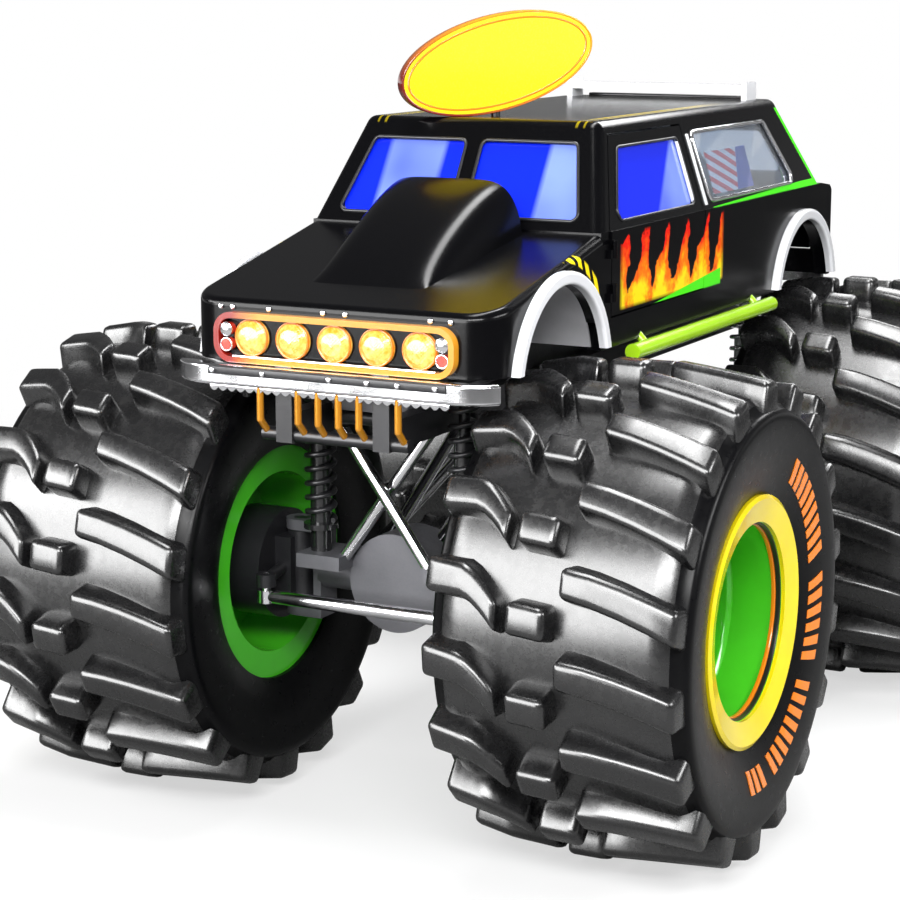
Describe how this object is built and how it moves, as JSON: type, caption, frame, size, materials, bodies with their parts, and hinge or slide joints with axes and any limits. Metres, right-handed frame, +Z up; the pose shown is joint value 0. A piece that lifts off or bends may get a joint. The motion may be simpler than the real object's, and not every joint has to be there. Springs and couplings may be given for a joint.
{
  "type": "monster truck",
  "caption": "Off-road show truck: sport utility body high on a tube frame, giant chevron-lug tyres, opening doors and liftgate, steering front axle.",
  "frame": {"origin": "on the ground, midway between the four wheels", "axes": "+Z up, the truck faces -Y, +X is its left side"},
  "size_m": [3.5, 5.3984, 3.6488],
  "materials": {
    "tyre_rubber": "semi-gloss black rubber",
    "rim_green": "gloss green",
    "ring_yellow": "gloss yellow",
    "body_black": "gloss black",
    "bright": "polished",
    "white_trim": "gloss white",
    "blue_glass": "tinted blue",
    "clear_glass": "pale tint",
    "amber_lens": "amber lens",
    "red_lens": "red lens",
    "gold_trim": "gloss gold",
    "frame_black": "satin black",
    "cast_grey": "cast grey",
    "lime_tube": "gloss lime",
    "sign_yellow": "gloss yellow",
    "seat_cloth": "dark cloth",
    "dash_plastic": "matt black",
    "liner_grey": "satin grey"
  },
  "bodies": {
    "chassis": {"front_clip": "body_black", "hood": "body_black", "floor_tub": "body_black", "upper_cab": "body_black", "rear_quarters": "body_black", "front_axle": "cast_grey", "rear_axle": "cast_grey", "frame": "frame_black", "links": "bright", "dampers": "bright", "springs": "frame_black", "powertrain": "cast_grey", "drive_shafts": "bright", "windscreen": "blue_glass", "quarter_glass": "clear_glass", "arch_lips": "white_trim", "lamp_surround": "gold_trim", "lamps": "amber_lens", "marker_lamps": "red_lens", "front_bumper": "bright", "front_hoops": "gold_trim", "rear_bumper": "bright", "tow_plate": "frame_black", "tail_lamps": "red_lens", "roof_sign": "sign_yellow", "sign_post": "frame_black", "roof_bar": "white_trim", "side_tubes": "lime_tube", "seats": "seat_cloth", "dash": "dash_plastic", "roll_cage": "white_trim", "wheel_tubs": "liner_grey"},
    "door_left": {"door_left": "body_black", "door_glass_left": "blue_glass"},
    "knuckle_left": {"knuckle_left": "frame_black"},
    "door_right": {"door_right": "body_black", "door_glass_right": "blue_glass"},
    "knuckle_right": {"knuckle_right": "frame_black"},
    "liftgate": {"liftgate": "body_black", "gate_glass": "clear_glass"},
    "tie_rod": {"tie_rod": "bright"},
    "wheel_front_left": {"tyre_front_left": "tyre_rubber", "rim_front_left": "rim_green", "ring_front_left": "ring_yellow"},
    "wheel_front_right": {"tyre_front_right": "tyre_rubber", "rim_front_right": "rim_green", "ring_front_right": "ring_yellow"},
    "wheel_rear_left": {"tyre_rear_left": "tyre_rubber", "rim_rear_left": "rim_green", "ring_rear_left": "ring_yellow"},
    "wheel_rear_right": {"tyre_rear_right": "tyre_rubber", "rim_rear_right": "rim_green", "ring_rear_right": "ring_yellow"}
  },
  "joints": [
    {"name": "steer_left", "type": "hinge", "parent": "chassis", "child": "knuckle_left", "pos_m": [0.56, -1.6, 1.1], "axis": [0, 0, 1], "range_deg": [-20, 20]},
    {"name": "steer_right", "type": "hinge", "parent": "chassis", "child": "knuckle_right", "pos_m": [-0.56, -1.6, 1.1], "axis": [0, 0, 1], "range_deg": [-20, 20]},
    {"name": "tie_rod_pivot", "type": "hinge", "parent": "knuckle_left", "child": "tie_rod", "pos_m": [0.56, -1.93, 1.1], "axis": [0, 0, 1], "range_deg": [-20, 20]},
    {"name": "wheel_front_left_spin", "type": "hinge", "parent": "knuckle_left", "child": "wheel_front_left", "pos_m": [1.175, -1.6, 1.1], "axis": [1, 0, 0], "continuous": true},
    {"name": "wheel_front_right_spin", "type": "hinge", "parent": "knuckle_right", "child": "wheel_front_right", "pos_m": [-1.175, -1.6, 1.1], "axis": [1, 0, 0], "continuous": true},
    {"name": "wheel_rear_left_spin", "type": "hinge", "parent": "chassis", "child": "wheel_rear_left", "pos_m": [1.175, 1.6, 1.1], "axis": [1, 0, 0], "continuous": true},
    {"name": "wheel_rear_right_spin", "type": "hinge", "parent": "chassis", "child": "wheel_rear_right", "pos_m": [-1.175, 1.6, 1.1], "axis": [1, 0, 0], "continuous": true},
    {"name": "door_left_hinge", "type": "hinge", "parent": "chassis", "child": "door_left", "pos_m": [0.774, -1.044, 2.5], "axis": [0, 0, -1], "range_deg": [0, 65]},
    {"name": "door_right_hinge", "type": "hinge", "parent": "chassis", "child": "door_right", "pos_m": [-0.774, -1.044, 2.5], "axis": [0, 0, 1], "range_deg": [0, 65]},
    {"name": "liftgate_hinge", "type": "hinge", "parent": "chassis", "child": "liftgate", "pos_m": [0, 1.56767, 3.11], "axis": [1, 0, 0], "range_deg": [0, 75]}
  ],
  "couplings": [
    {"joint": "steer_right", "follows": "steer_left", "ratio": 1},
    {"joint": "tie_rod_pivot", "follows": "steer_left", "ratio": -1}
  ]
}
